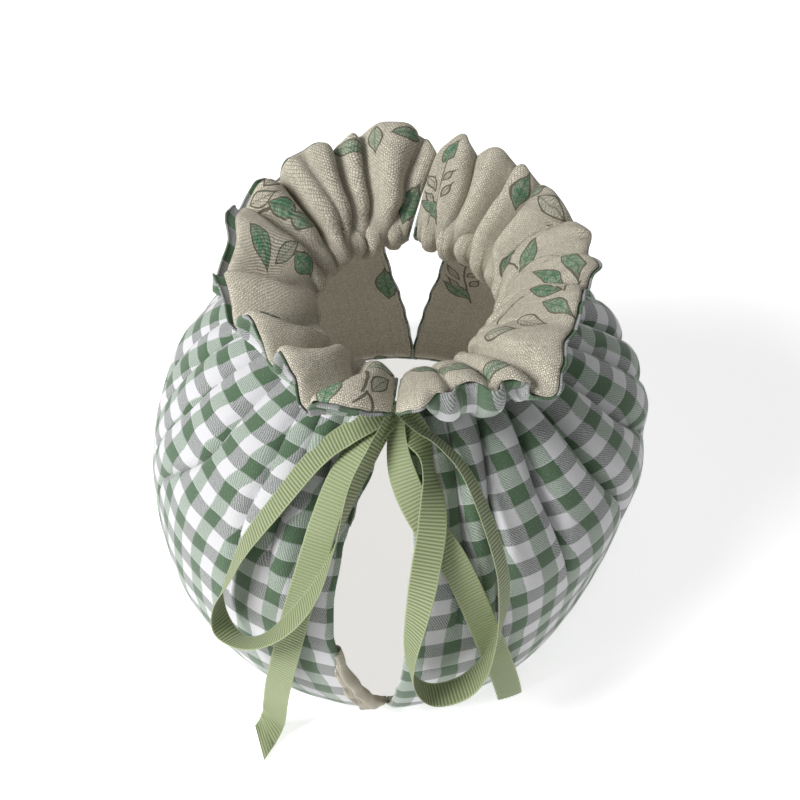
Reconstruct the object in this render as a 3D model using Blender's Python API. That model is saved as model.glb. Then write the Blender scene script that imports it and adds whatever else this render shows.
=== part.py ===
"""Drawstring tea cosy: two wadded side panels with a turned-out frill, and a ribbon bow.

All sizes below are millimetres and degrees; meshes are written in metres, +Z up.
Azimuth runs anticlockwise seen from above, 270 is the front, where the handle
slit is. The spout slit is opposite.
"""

import math

import bmesh
import bpy
import numpy as np

MM = 0.001

# ---- cloth thicknesses ----
OUTER_FACE = 1.75       # outer cloth runs from LAYER_GAP/2 to this, outward
LAYER_GAP = 0.30
LINING_FACE = 1.45      # lining runs from LAYER_GAP/2 to this, inward

# ---- meridian of the wall: radius and height of the seam line between the two cloths ----
WALL_PROFILE = (
    # radius, height
    (82.0, 0.0),
    (87.0, 5.5),
    (91.5, 14.0),
    (94.5, 27.0),
    (95.2, 42.0),
    (94.0, 57.0),
    (89.5, 73.0),
    (81.5, 87.0),
    (70.5, 99.0),
    (57.5, 109.0),
    (45.5, 117.0),
    (37.5, 123.0),
    (34.0, 129.0),
)
NECK_HEIGHT = WALL_PROFILE[-1][1]
WIDEST_HEIGHT = 50.0           # below this a hanging ribbon faces as it does here
NECK_SIDE_SHIFT = 2.5          # the neck stands this far to the right of the hem
SLUMP_LEFT = 5.5               # lower wall bulges out at the left of the front
SLUMP_RIGHT = -7.0             # and is drawn in at the right
SLUMP_TOP = 78.0

# ---- slits: half the opening, and the azimuth of the middle line, by height ----
SLITS = (
    # height, half opening, front azimuth, back azimuth
    (0.0, 0.2, 266.6, 86.0),
    (4.0, 0.2, 266.5, 86.0),
    (10.0, 1.8, 266.2, 86.0),
    (20.0, 4.3, 265.8, 86.0),
    (30.0, 7.0, 265.2, 86.0),
    (45.0, 11.0, 264.3, 86.0),
    (60.0, 13.2, 263.6, 86.0),
    (75.0, 13.6, 263.5, 86.0),
    (90.0, 12.6, 263.5, 86.0),
    (100.0, 10.2, 264.0, 86.0),
    (110.0, 6.4, 265.0, 86.3),
    (118.0, 3.0, 265.4, 86.7),
    (125.0, 1.2, 265.5, 87.0),
    (129.0, 0.8, 265.5, 87.0),
)
FRILL_SLIT_HALF = 2.6          # half opening of the front slit at the frill's edge
FRILL_SLIT_HALF_BACK = 1.7
FRILL_SLIT_BACK = 79.5         # azimuth of the back slit at the frill's edge

# ---- pleats of the wall ----
PLEATS = 12                    # per panel
PLEAT_DEPTHS = (
    # height, half depth
    (0.0, 0.25),
    (14.0, 0.5),
    (42.0, 0.75),
    (73.0, 1.1),
    (99.0, 1.45),
    (112.0, 1.2),
    (123.0, 0.7),
    (129.0, 0.45),
)

# ---- frill: edge stations of each panel ----
FRILL_EDGE_RIGHT = (
    # azimuth, radius, height, upturn
    (-92.0, 65.0, 148.0, 0.0),
    (-81.0, 62.0, 150.0, 0.2),
    (-74.0, 56.0, 151.0, 0.9),
    (-60.0, 55.0, 151.0, 1.0),
    (-53.0, 60.0, 151.0, 0.9),
    (-48.0, 71.0, 147.0, 0.4),
    (-42.0, 68.0, 149.0, 0.1),
    (-34.0, 62.5, 151.0, 0.0),
    (-20.0, 62.0, 153.0, 0.0),
    (-9.0, 62.0, 153.0, 0.0),
    (0.0, 67.0, 151.5, 0.0),
    (8.0, 63.0, 152.5, 0.0),
    (15.0, 67.0, 151.5, 0.0),
    (22.0, 64.0, 152.5, 0.0),
    (42.0, 62.0, 153.0, 0.0),
    (51.0, 65.0, 153.0, 0.0),
    (66.0, 60.5, 152.5, 0.0),
    (72.0, 66.0, 153.0, 0.0),
    (79.0, 63.0, 152.0, 0.0),
)
FRILL_EDGE_LEFT = (
    (80.0, 65.0, 153.0, 0.0),
    (90.0, 67.0, 153.0, 0.0),
    (100.0, 68.0, 153.0, 0.0),
    (113.0, 64.5, 153.0, 0.0),
    (125.0, 66.0, 152.5, 0.0),
    (140.0, 65.0, 152.0, 0.0),
    (160.0, 65.0, 151.5, 0.0),
    (172.0, 62.0, 150.5, 0.0),
    (184.0, 64.0, 150.0, 0.0),
    (196.0, 62.0, 149.5, 0.0),
    (206.0, 58.0, 149.5, 0.0),
    (222.0, 57.5, 149.5, 0.0),
    (232.0, 60.5, 148.5, 0.0),
    (241.0, 66.0, 147.0, 0.0),
    (263.0, 66.0, 147.0, 0.0),
)

# ---- frill: valleys between the lobes ----
FRILL_VALLEYS_RIGHT = (
    # azimuth at the neck, azimuth at the edge, depth
    (-94.0, -92.0, 2.0),
    (-78.0, -76.0, 2.5),
    (-64.0, -62.0, 3.0),
    (-50.0, -49.0, 5.0),
    (-22.0, -26.0, 1.5),
    (4.0, -9.0, 4.0),
    (22.0, 9.0, 4.5),
    (40.0, 42.0, 5.0),
    (54.0, 51.5, 5.0),
    (64.0, 66.0, 4.5),
    (87.0, 79.0, 3.0),
)
FRILL_VALLEYS_LEFT = (
    (87.0, 80.0, 2.5),
    (96.0, 88.0, 3.0),
    (106.0, 104.0, 4.5),
    (119.0, 112.0, 5.0),
    (146.0, 136.0, 6.0),
    (157.0, 150.0, 5.0),
    (170.0, 172.0, 5.5),
    (198.0, 196.0, 5.0),
    (210.0, 212.0, 5.0),
    (238.0, 241.0, 5.0),
    (266.0, 263.0, 2.0),
)
FOLD_RADIUS = 3.1              # tightest round a lobe's valley may have

# ---- ribbon bow: stations along each strand ----
RIBBON_WIDTH = 10.0
RIBBON_THICKNESS = 1.0
CUT_LEFT = -9.0                # slant of each cut end
CUT_RIGHT = -8.0
LOOP_LEFT = (
    # azimuth, height, stand-off from the wall, turn about the ribbon's own line
    (265.0, 121.5, 8.6, 0.0),
    (257.0, 119.0, 8.0, 0.0),
    (246.5, 113.5, 6.5, 0.0),
    (239.0, 102.0, 6.5, 0.0),
    (233.5, 86.0, 7.0, 15.0),
    (231.8, 75.0, 8.5, 50.0),
    (231.8, 65.0, 10.0, 85.0),
    (234.2, 54.5, 10.5, 95.0),
    (238.8, 50.0, 11.0, 75.0),
    (244.3, 57.0, 12.0, 40.0),
    (249.6, 74.0, 12.0, 25.0),
    (253.4, 89.0, 11.5, 30.0),
    (256.2, 100.0, 11.5, 50.0),
    (259.0, 111.0, 12.0, 55.0),
    (262.0, 117.5, 12.2, 25.0),
    (265.0, 121.5, 10.8, 0.0),
)
TAIL_LEFT = (
    (264.0, 122.0, 6.2, 0.0),
    (260.6, 117.5, 5.8, 0.0),
    (256.8, 111.0, 5.5, 0.0),
    (253.8, 103.0, 5.5, 0.0),
    (251.6, 85.0, 5.5, 0.0),
    (249.6, 62.0, 5.5, 0.0),
    (247.3, 41.0, 6.0, 0.0),
    (246.0, 23.0, 9.5, 0.0),
    (245.4, 10.5, 15.0, 0.0),
    (245.0, 4.6, 22.0, 0.0),
    (244.7, 3.0, 29.0, 0.0),
)
LOOP_RIGHT = (
    (266.0, 121.5, 9.7, 0.0),
    (270.5, 120.0, 9.5, 0.0),
    (275.0, 115.5, 9.5, 0.0),
    (277.0, 107.0, 10.0, 0.0),
    (277.6, 97.0, 10.0, 5.0),
    (276.6, 86.0, 10.0, 15.0),
    (274.4, 72.0, 10.5, 35.0),
    (272.4, 56.0, 11.0, 70.0),
    (273.3, 45.0, 11.0, 90.0),
    (277.5, 37.5, 11.0, 95.0),
    (283.0, 38.5, 11.0, 90.0),
    (287.3, 48.0, 11.0, 85.0),
    (290.4, 60.0, 11.0, 80.0),
    (291.3, 74.0, 11.0, 80.0),
    (290.6, 89.0, 11.2, 78.0),
    (288.5, 103.0, 11.6, 75.0),
    (284.5, 112.5, 13.0, 65.0),
    (279.0, 118.5, 14.5, 45.0),
    (272.0, 121.0, 13.5, 15.0),
    (266.0, 121.8, 12.0, 0.0),
)
TAIL_RIGHT = (
    (266.0, 121.0, 7.4, 0.0),
    (267.5, 116.0, 6.2, 0.0),
    (270.0, 110.0, 5.2, 0.0),
    (273.0, 103.0, 5.4, 0.0),
    (277.5, 96.0, 6.0, 0.0),
    (281.0, 88.0, 5.6, 0.0),
    (284.9, 72.0, 5.0, 0.0),
    (288.8, 50.0, 5.5, 0.0),
    (291.7, 29.0, 8.5, 0.0),
    (294.2, 12.0, 12.5, 0.0),
    (294.9, 7.0, 14.0, 0.0),
)
KNOT_AT = (265.5, 121.5, 9.2)     # azimuth, height, stand-off
KNOT_SIZE = (9.0, 7.7, 9.0)       # across, out from the wall, up

# ---- the row frame: middle of the finished outline, hem on the floor ----
ROW_SHIFT = (0.8, 8.6)

COLUMNS = 4 * PLEATS
WALL_ROWS = (0.0, 5.0, 12.0, 22.0, 34.0, 47.0, 60.0, 73.0, 85.0, 95.0, 104.0, 112.0,
             118.0, 124.0, 129.0)
FRILL_ROWS = (0.16, 0.36, 0.58, 0.8, 1.0)


def clear_scene():
    for item in list(bpy.data.objects):
        bpy.data.objects.remove(item, do_unlink=True)
    for mesh in list(bpy.data.meshes):
        bpy.data.meshes.remove(mesh)


def cloth_material(name, colour, roughness):
    material = bpy.data.materials.new(name)
    material.use_nodes = True
    shader = material.node_tree.nodes["Principled BSDF"]
    shader.inputs["Base Color"].default_value = (*colour, 1.0)
    shader.inputs["Roughness"].default_value = roughness
    return material


def ease(x):
    x = np.clip(x, 0.0, 1.0)
    return x * x * (3.0 - 2.0 * x)


def table_value(table, x, column):
    """Value of a table at x, eased from row to row."""
    keys = np.array([row[0] for row in table])
    values = np.array([row[column] for row in table])
    x = np.clip(x, keys[0], keys[-1])
    i = np.clip(np.searchsorted(keys, x, side="right") - 1, 0, len(keys) - 2)
    part = (x - keys[i]) / (keys[i + 1] - keys[i])
    return values[i] + (values[i + 1] - values[i]) * ease(part)


def catmull(points, steps):
    """Points of a smooth curve through the given rows."""
    rows = [np.array(row, float) for row in points]
    rows = [2 * rows[0] - rows[1]] + rows + [2 * rows[-1] - rows[-2]]
    out = []
    for k in range(1, len(rows) - 2):
        a, b, c, d = rows[k - 1:k + 3]
        for j in range(steps):
            t = j / steps
            out.append(0.5 * (2 * b + (c - a) * t + (2 * a - 5 * b + 4 * c - d) * t * t
                              + (3 * b - a - 3 * c + d) * t ** 3))
    out.append(rows[-2])
    return out


FINE_PROFILE = np.array(catmull(WALL_PROFILE, 8))


def around(azimuth, middle, width):
    """Bell over the azimuth, one at the middle."""
    away = (azimuth - middle + 180.0) % 360.0 - 180.0
    return np.exp(-(away / width) ** 2)


def wall_radius(azimuth, height):
    low = ease((SLUMP_TOP - height) / 48.0)
    round_part = np.interp(height, FINE_PROFILE[:, 1], FINE_PROFILE[:, 0])
    left = SLUMP_LEFT * around(azimuth, 248.0, 42.0)
    right = SLUMP_RIGHT * around(azimuth, 330.0, 28.0)
    return round_part + low * (left + right)


def on_wall(azimuth, height, stand_off=0.0):
    angle = np.radians(azimuth)
    reach = wall_radius(azimuth, height) + stand_off
    side = NECK_SIDE_SHIFT * ease((height - 60.0) / 60.0)
    return np.stack([side + reach * np.cos(angle), reach * np.sin(angle),
                     height + 0.0 * reach], -1)


def wall_normal(azimuth, height):
    """Outward unit normal of the unpleated wall."""
    across = on_wall(azimuth + 0.5, height) - on_wall(azimuth - 0.5, height)
    low = max(height - 1.0, 0.0)
    high = min(height + 1.0, NECK_HEIGHT)
    up = on_wall(azimuth, high) - on_wall(azimuth, low)
    normal = np.cross(across, up)
    return normal / np.linalg.norm(normal)


class Panel:
    """One side panel: wall and frill as a surface over (u, v).

    u runs 0 to 1 across the panel, v is the height on the wall up to the neck and
    the neck height plus 0 to 1 along the frill.
    """

    def __init__(self, edge, valleys, right):
        self.edge = edge
        self.valleys = valleys
        self.right = right

    def borders(self, v):
        """Azimuth of the panel's two side edges at v."""
        height = np.minimum(v, NECK_HEIGHT)
        along = np.clip(v - NECK_HEIGHT, 0.0, 1.0)
        half = table_value(SLITS, height, 1)
        front = table_value(SLITS, height, 2)
        back = table_value(SLITS, height, 3)
        half_front = half + (FRILL_SLIT_HALF - half) * along
        half_back = half + (FRILL_SLIT_HALF_BACK - half) * along
        back = back + (FRILL_SLIT_BACK - back) * along
        reach = wall_radius(front, height) + along * 30.0
        open_front = np.degrees(half_front / reach)
        open_back = np.degrees(half_back / reach)
        if self.right:
            return front - 360.0 + open_front, back - open_back
        return back + open_back, front - open_front

    def azimuth(self, u, v):
        start, end = self.borders(v)
        uneven = 0.010 * np.sin(6.0 * math.pi * u + (0.6 if self.right else 2.1))
        uneven = uneven * (4.0 * u * (1.0 - u))
        return start + (end - start) * (u + uneven)

    def base(self, u, v):
        """The surface without its folds."""
        azimuth = self.azimuth(u, v)
        height = np.minimum(v, NECK_HEIGHT)
        t = np.clip(v - NECK_HEIGHT, 0.0, 1.0)
        wall = on_wall(azimuth, height)
        neck = WALL_PROFILE[-1][0]
        edge_radius = table_value(self.edge, azimuth, 1)
        edge_height = table_value(self.edge, azimuth, 2)
        upturn = table_value(self.edge, azimuth, 3)
        first_r = 34.5 + 3.5 * upturn
        first_z = 139.0 - 5.0 * upturn
        second_r = 50.0 + 2.0 * upturn
        second_z = 145.5 - 12.0 * upturn
        s = 1.0 - t
        radius = (s ** 3 * neck + 3 * s * s * t * first_r + 3 * s * t * t * second_r
                  + t ** 3 * edge_radius)
        rise = (s ** 3 * NECK_HEIGHT + 3 * s * s * t * first_z + 3 * s * t * t * second_z
                + t ** 3 * edge_height)
        angle = np.radians(azimuth)
        frill = np.stack([NECK_SIDE_SHIFT + radius * np.cos(angle),
                          radius * np.sin(angle), rise], -1)
        return np.where((t > 0.0)[..., None], frill, wall)

    def fold(self, u, v):
        """Height of the folds, outward on the wall and downward on the frill."""
        azimuth = self.azimuth(u, v)
        height = np.minimum(v, NECK_HEIGHT)
        t = np.clip(v - NECK_HEIGHT, 0.0, 1.0)
        keys = np.array([row[0] for row in PLEAT_DEPTHS])
        depths = np.array([row[1] for row in PLEAT_DEPTHS])
        phase = 2.0 * math.pi * PLEATS * u
        uneven = 0.8 + 0.3 * np.sin(5.0 * u * math.pi + (0.0 if self.right else 1.7))
        pleats = -np.interp(height, keys, depths) * uneven * np.cos(phase)
        lobes = np.zeros_like(pleats)
        reach = 34.0 + 31.0 * t
        for lower, upper in zip(self.valleys[:-1], self.valleys[1:]):
            start = lower[0] + (lower[1] - lower[0]) * t
            end = upper[0] + (upper[1] - upper[0]) * t
            part = (azimuth - start) / (end - start)
            inside = (part >= 0.0) & (part < 1.0)
            depth = lower[2] + (upper[2] - lower[2]) * np.clip(part, 0.0, 1.0)
            width = np.radians(end - start) * reach
            depth = np.minimum(depth, width ** 2 / (19.7 * FOLD_RADIUS))
            lobe = -0.5 * depth * np.cos(2.0 * math.pi * part)
            lobes = np.where(inside, lobe, lobes)
        return pleats * (1.0 - ease(t / 0.3)) - lobes * ease(t / 0.45)

    def point(self, u, v):
        """The folded surface."""
        return self.base(u, v) + self.normal_of(self.base, u, v) * self.fold(u, v)[..., None]

    def normal_of(self, surface, u, v):
        """Unit normal, outward on the wall and downward on the frill."""
        step_u = 0.002
        across = surface(u + step_u, v) - surface(u - step_u, v)
        on_frill = v > NECK_HEIGHT
        step_v = np.where(on_frill, 0.015, 0.5)
        low = np.where(on_frill, np.maximum(v - step_v, NECK_HEIGHT + 1e-6),
                       np.maximum(v - step_v, 0.0))
        high = np.where(on_frill, np.minimum(v + step_v, NECK_HEIGHT + 1.0),
                        np.minimum(v + step_v, NECK_HEIGHT))
        up = surface(u, high) - surface(u, low)
        normal = np.cross(across, up)
        return normal / np.linalg.norm(normal, axis=-1, keepdims=True)

    def layer(self, near, far):
        """Two grids of points, at the two distances from the seam surface."""
        stations = list(WALL_ROWS) + [NECK_HEIGHT + t for t in FRILL_ROWS]
        v, u = np.meshgrid(np.array(stations), np.linspace(0.0, 1.0, COLUMNS + 1),
                           indexing="ij")
        points = self.point(u, v)
        normals = self.normal_of(self.point, u, v)
        grids = []
        for distance in (near, far):
            grid = points + normals * distance
            flat = normals[0] * [1.0, 1.0, 0.0]
            flat = flat / np.linalg.norm(flat, axis=-1, keepdims=True)
            grid[0] = points[0] + flat * distance * 1.25
            grids.append(grid)
        return grids


def sheet_object(name, near, far, material, hem_height):
    """Closed sheet between two grids of the same size."""
    rows, columns = near.shape[:2]
    near = near.copy()
    far = far.copy()
    near[0, :, 2] = hem_height
    far[0, :, 2] = hem_height
    mesh = bmesh.new()
    layers = []
    for grid in (near, far):
        layers.append([[mesh.verts.new(grid[i, j] * MM) for j in range(columns)]
                       for i in range(rows)])
    a, b = layers
    for i in range(rows - 1):
        for j in range(columns - 1):
            mesh.faces.new((a[i][j], a[i + 1][j], a[i + 1][j + 1], a[i][j + 1]))
            mesh.faces.new((b[i][j], b[i][j + 1], b[i + 1][j + 1], b[i + 1][j]))
    for i in range(rows - 1):
        for j in (0, columns - 1):
            mesh.faces.new((a[i][j], b[i][j], b[i + 1][j], a[i + 1][j]))
    for j in range(columns - 1):
        for i in (0, rows - 1):
            mesh.faces.new((a[i][j], a[i][j + 1], b[i][j + 1], b[i][j]))
    return finish(name, mesh, material)


def finish(name, mesh, material):
    """Triangulate, turn the faces outward and make the object."""
    bmesh.ops.triangulate(mesh, faces=mesh.faces[:])
    bmesh.ops.recalc_face_normals(mesh, faces=mesh.faces[:])
    data = bpy.data.meshes.new(name)
    mesh.to_mesh(data)
    mesh.free()
    item = bpy.data.objects.new(name, data)
    item.data.materials.append(material)
    bpy.context.scene.collection.objects.link(item)
    return item


def strand_frames(stations):
    """Points of a strand with the directions of its width and of its face."""
    rows = catmull(stations, 2)
    points = [on_wall(row[0], row[1], row[2]) for row in rows]
    frames = []
    for k, row in enumerate(rows):
        before = points[max(k - 1, 0)]
        after = points[min(k + 1, len(points) - 1)]
        along = (after - before) / np.linalg.norm(after - before)
        normal = wall_normal(row[0], max(row[1], WIDEST_HEIGHT))
        normal = normal - along * (normal @ along)
        normal = normal / np.linalg.norm(normal)
        turn = math.radians(row[3])
        face = normal * math.cos(turn) + np.cross(along, normal) * math.sin(turn)
        frames.append((points[k], np.cross(along, face), face, along))
    return frames


def strand_object(name, stations, material, cut):
    """Flat ribbon along the stations, its last end cut on a slant."""
    mesh = bmesh.new()
    rings = []
    frames = strand_frames(stations)
    for k, (point, width, face, along) in enumerate(frames):
        slant = cut * max(0.0, 1.0 - (len(frames) - 1 - k) / 4.0)
        ring = []
        for side, level in ((-1, -1), (1, -1), (1, 1), (-1, 1)):
            corner = (point + width * side * RIBBON_WIDTH / 2
                      + face * level * RIBBON_THICKNESS / 2 + along * side * slant / 2)
            ring.append(mesh.verts.new(corner * MM))
        rings.append(ring)
    for first, second in zip(rings[:-1], rings[1:]):
        for k in range(4):
            mesh.faces.new((first[k], first[(k + 1) % 4], second[(k + 1) % 4], second[k]))
    mesh.faces.new(rings[0][::-1])
    mesh.faces.new(rings[-1])
    return finish(name, mesh, material)


def knot_object(name, material):
    """Rounded lump of ribbon where the strands are tied."""
    mesh = bmesh.new()
    bmesh.ops.create_uvsphere(mesh, u_segments=16, v_segments=10, radius=1.0)
    out = wall_normal(KNOT_AT[0], KNOT_AT[1]) * [1.0, 1.0, 0.0]
    out = out / np.linalg.norm(out)
    across = np.array([-out[1], out[0], 0.0])
    middle = on_wall(*KNOT_AT)
    for vert in mesh.verts:
        x, y, z = vert.co
        spot = (middle + across * x * KNOT_SIZE[0] / 2 + out * y * KNOT_SIZE[1] / 2
                + np.array([0.0, 0.0, z * KNOT_SIZE[2] / 2]))
        vert.co = spot * MM
    return finish(name, mesh, material)


def fuse(base, others):
    """Join the other solids into the base solid."""
    for other in others:
        union = base.modifiers.new("union", "BOOLEAN")
        union.operation = "UNION"
        union.solver = "EXACT"
        union.object = other
        bpy.context.view_layer.update()
        graph = bpy.context.evaluated_depsgraph_get()
        data = bpy.data.meshes.new_from_object(base.evaluated_get(graph))
        base.modifiers.clear()
        base.data = data
        bpy.data.objects.remove(other, do_unlink=True)
    mesh = bmesh.new()
    mesh.from_mesh(base.data)
    bmesh.ops.remove_doubles(mesh, verts=mesh.verts[:], dist=0.00001)
    bmesh.ops.triangulate(mesh, faces=mesh.faces[:])
    mesh.to_mesh(base.data)
    mesh.free()


def shift_into_row_frame():
    for item in bpy.data.objects:
        for vert in item.data.vertices:
            vert.co.x += ROW_SHIFT[0] * MM
            vert.co.y += ROW_SHIFT[1] * MM


clear_scene()
gingham = cloth_material("gingham", (0.42, 0.50, 0.42), 0.85)
linen = cloth_material("linen", (0.47, 0.43, 0.34), 0.9)
grosgrain = cloth_material("grosgrain", (0.36, 0.42, 0.25), 0.7)

for side, panel in (
    ("right", Panel(FRILL_EDGE_RIGHT, FRILL_VALLEYS_RIGHT, True)),
    ("left", Panel(FRILL_EDGE_LEFT, FRILL_VALLEYS_LEFT, False)),
):
    near, far = panel.layer(LAYER_GAP / 2, OUTER_FACE)
    sheet_object("outer_" + side, near, far, gingham, 0.0)
    near, far = panel.layer(-LAYER_GAP / 2, -LINING_FACE)
    sheet_object("lining_" + side, near, far, linen, 0.6)

bow = knot_object("drawstring_bow", grosgrain)
strands = [
    strand_object("loop_left", LOOP_LEFT, grosgrain, 0.0),
    strand_object("loop_right", LOOP_RIGHT, grosgrain, 0.0),
    strand_object("tail_left", TAIL_LEFT, grosgrain, CUT_LEFT),
    strand_object("tail_right", TAIL_RIGHT, grosgrain, CUT_RIGHT),
]
fuse(bow, strands)
shift_into_row_frame()
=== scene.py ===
import functools
import math

import bmesh
import bpy
import numpy as np
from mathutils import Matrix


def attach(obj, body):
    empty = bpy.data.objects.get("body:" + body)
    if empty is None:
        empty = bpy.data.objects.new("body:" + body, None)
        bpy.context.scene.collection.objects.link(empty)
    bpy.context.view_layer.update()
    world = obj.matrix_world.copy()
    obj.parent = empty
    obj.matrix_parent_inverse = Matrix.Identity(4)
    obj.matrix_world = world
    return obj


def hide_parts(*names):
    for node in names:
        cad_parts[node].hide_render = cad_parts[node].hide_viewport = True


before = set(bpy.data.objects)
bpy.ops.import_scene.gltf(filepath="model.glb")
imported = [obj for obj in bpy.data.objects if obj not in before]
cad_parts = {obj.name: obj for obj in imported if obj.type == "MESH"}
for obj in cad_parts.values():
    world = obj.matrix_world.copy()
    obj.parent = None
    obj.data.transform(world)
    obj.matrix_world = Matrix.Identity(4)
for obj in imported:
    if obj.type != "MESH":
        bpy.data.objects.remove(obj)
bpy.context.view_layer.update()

# ---------------------------------------------------------------------------
# Outer side panels. Two pieces of checked cotton, sewn to each other only at the
# hem end of the two slits, drawn in at the neck and turned out above it as a frill.
# Each stands on its hem and is kept round by thin wadding. Sizes in millimetres.
# ---------------------------------------------------------------------------
MM = 0.001
ROW_SHIFT = np.array([0.8, 8.6, 0.0])      # middle of the plan outline
WALL_PROFILE = (
    # radius, height
    (82.0, 0.0), (87.0, 5.5), (91.5, 14.0), (94.5, 27.0), (95.2, 42.0), (94.0, 57.0),
    (89.5, 73.0), (81.5, 87.0), (70.5, 99.0), (57.5, 109.0), (45.5, 117.0), (37.5, 123.0),
    (34.0, 129.0),
)
NECK_HEIGHT = 129.0
NECK_RADIUS = 34.0
NECK_SIDE_SHIFT = 2.5
SLUMPS = (
    # how far out the low wall sags, azimuth, width
    (5.5, 248.0, 42.0), (-7.0, 330.0, 28.0),
)
SHOULDERS = (
    # how far out the wall puffs below the neck, azimuth, width, height, spread in height
    (4.5, 178.0, 40.0, 108.0, 14.0), (4.0, 10.0, 30.0, 84.0, 15.0),
)
SLITS = (
    # height, half opening, front azimuth, back azimuth
    (0.0, 0.2, 266.6, 86.0), (4.0, 0.2, 266.5, 86.0), (10.0, 1.8, 266.2, 86.0),
    (20.0, 4.3, 265.8, 86.0), (30.0, 7.0, 265.2, 86.0), (45.0, 11.0, 264.3, 86.0),
    (60.0, 13.2, 263.6, 86.0), (75.0, 13.6, 263.5, 86.0), (90.0, 12.6, 263.5, 86.0),
    (100.0, 10.2, 264.0, 86.0), (110.0, 6.4, 265.0, 86.3), (118.0, 3.0, 265.4, 86.7),
    (125.0, 1.2, 265.5, 87.0), (129.0, 0.8, 265.5, 87.0),
)
FRILL_SLIT_HALF_FRONT = 0.7                # half opening at the frill's edge
FRILL_SLIT_HALF_BACK = 0.0
FRILL_SLIT_BACK = 79.5                     # azimuth at the frill's edge
FRILL_FLARE = 30.0                         # radius gained from the neck to the frill's edge
FRILL_BEND_LOW = (NECK_RADIUS, 140.0)      # radius and height the frill bends towards
FRILL_BEND_HIGH = (50.0, 148.5)
FRILL_VALLEY_SPREAD = 0.7
CLOTH_ACROSS = 282.0                       # one panel, slit to slit, before gathering
FRILL_ALONG = 43.0
CLOTH_THICKNESS = 0.7
TABLE_GAP = 0.05                           # between the hem and the table
TUCK_PITCH = 11.0                          # small tucks where the neck is drawn in
TUCK_DEPTH = 0.7
PUCKER_PITCH = 7.0                         # puckers in the seam at the frill's edge
PUCKER_DEPTH = 0.22
CORNER_REACH = 9.0                         # the frill's corners stand up beside the slits
CORNER_LIFT = 4.0

FRILL_EDGE_RIGHT = (
    # azimuth, radius, height, upturn, lip of outer cloth that shows
    (-93.0, 64.0, 148.0, 0.0, 0.8), (-87.0, 62.5, 148.5, 0.0, 0.4), (-80.0, 57.0, 149.5, 0.8, 0.0),
    (-75.0, 54.5, 149.5, 1.0, 0.0), (-68.0, 56.0, 149.5, 1.0, 0.0), (-60.0, 59.5, 149.5, 1.0, 0.0),
    (-54.0, 64.0, 149.0, 0.45, 0.2), (-48.0, 72.0, 147.0, 0.0, 0.8),
    (-42.0, 68.0, 149.0, 0.0, 1.6), (-34.0, 63.0, 151.0, 0.0, 1.6), (-20.0, 62.0, 153.0, 0.0, 1.4),
    (-10.0, 60.5, 153.0, 0.0, 1.0), (-3.0, 66.0, 151.5, 0.0, 0.3), (5.5, 60.5, 152.5, 0.0, 0.0),
    (10.0, 64.5, 151.5, 0.0, 0.0), (19.0, 60.5, 152.5, 0.0, 0.0), (30.0, 60.5, 153.0, 0.0, 0.0),
    (40.0, 60.0, 153.0, 0.0, 0.0), (51.0, 62.5, 153.0, 0.0, 0.0), (58.0, 63.5, 153.0, 0.0, 0.0),
    (66.0, 60.0, 152.5, 0.0, 0.0), (72.0, 66.0, 153.0, 0.0, 0.0), (80.0, 63.0, 152.0, 0.0, 0.0),
)
FRILL_EDGE_LEFT = (
    (79.0, 65.0, 153.0, 0.0, 0.0), (90.0, 67.0, 153.0, 0.0, 0.0), (100.0, 68.0, 153.0, 0.0, 0.0),
    (113.0, 64.5, 153.0, 0.0, 0.0), (125.0, 66.0, 152.5, 0.0, 0.3), (140.0, 65.0, 152.0, 0.0, 0.8),
    (150.0, 66.0, 151.5, 0.0, 1.5), (160.0, 67.0, 151.5, 0.0, 3.0), (172.0, 62.5, 150.5, 0.0, 3.2),
    (184.0, 66.0, 150.0, 0.0, 3.6), (196.0, 63.0, 149.5, 0.0, 2.6), (206.0, 58.5, 149.5, 0.0, 1.6),
    (222.0, 57.5, 149.5, 0.0, 1.4), (232.0, 60.5, 148.5, 0.0, 1.4), (241.0, 66.0, 147.0, 0.0, 1.4),
    (263.0, 65.0, 147.0, 0.0, 1.6),
)
PLEATS_RIGHT = (
    # azimuth at the neck, at height 95, at 60, depth, lean, height where it ends, spread
    (-84.0, -85.0, -84.0, 2.0, 0.2, 60.0, 0.8), (-72.0, -75.0, -78.0, 4.5, 0.2, 56.0, 0.8),
    (-55.0, -66.0, -69.0, 7.5, 0.15, 52.0, 0.7), (-39.0, -49.5, -49.5, 8.0, -0.15, 54.0, 0.65),
    (-30.0, -32.5, -26.0, 8.5, -0.15, 40.0, 0.65), (-17.0, -14.0, -5.0, 7.5, -0.2, 46.0, 0.7),
    (-3.0, 2.0, 8.0, 3.6, -0.3, 50.0, 1.0), (11.0, 14.0, 20.0, 4.0, 0.3, 50.0, 1.0),
    (25.0, 28.0, 32.0, 3.6, -0.4, 54.0, 0.8), (39.0, 41.0, 43.0, 5.0, -0.3, 46.0, 1.0),
    (52.0, 54.0, 54.0, 4.0, 0.3, 56.0, 0.8), (64.0, 66.0, 66.0, 5.5, 0.2, 52.0, 1.0),
    (76.0, 77.0, 76.0, 3.0, 0.2, 62.0, 0.8),
)
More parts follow.
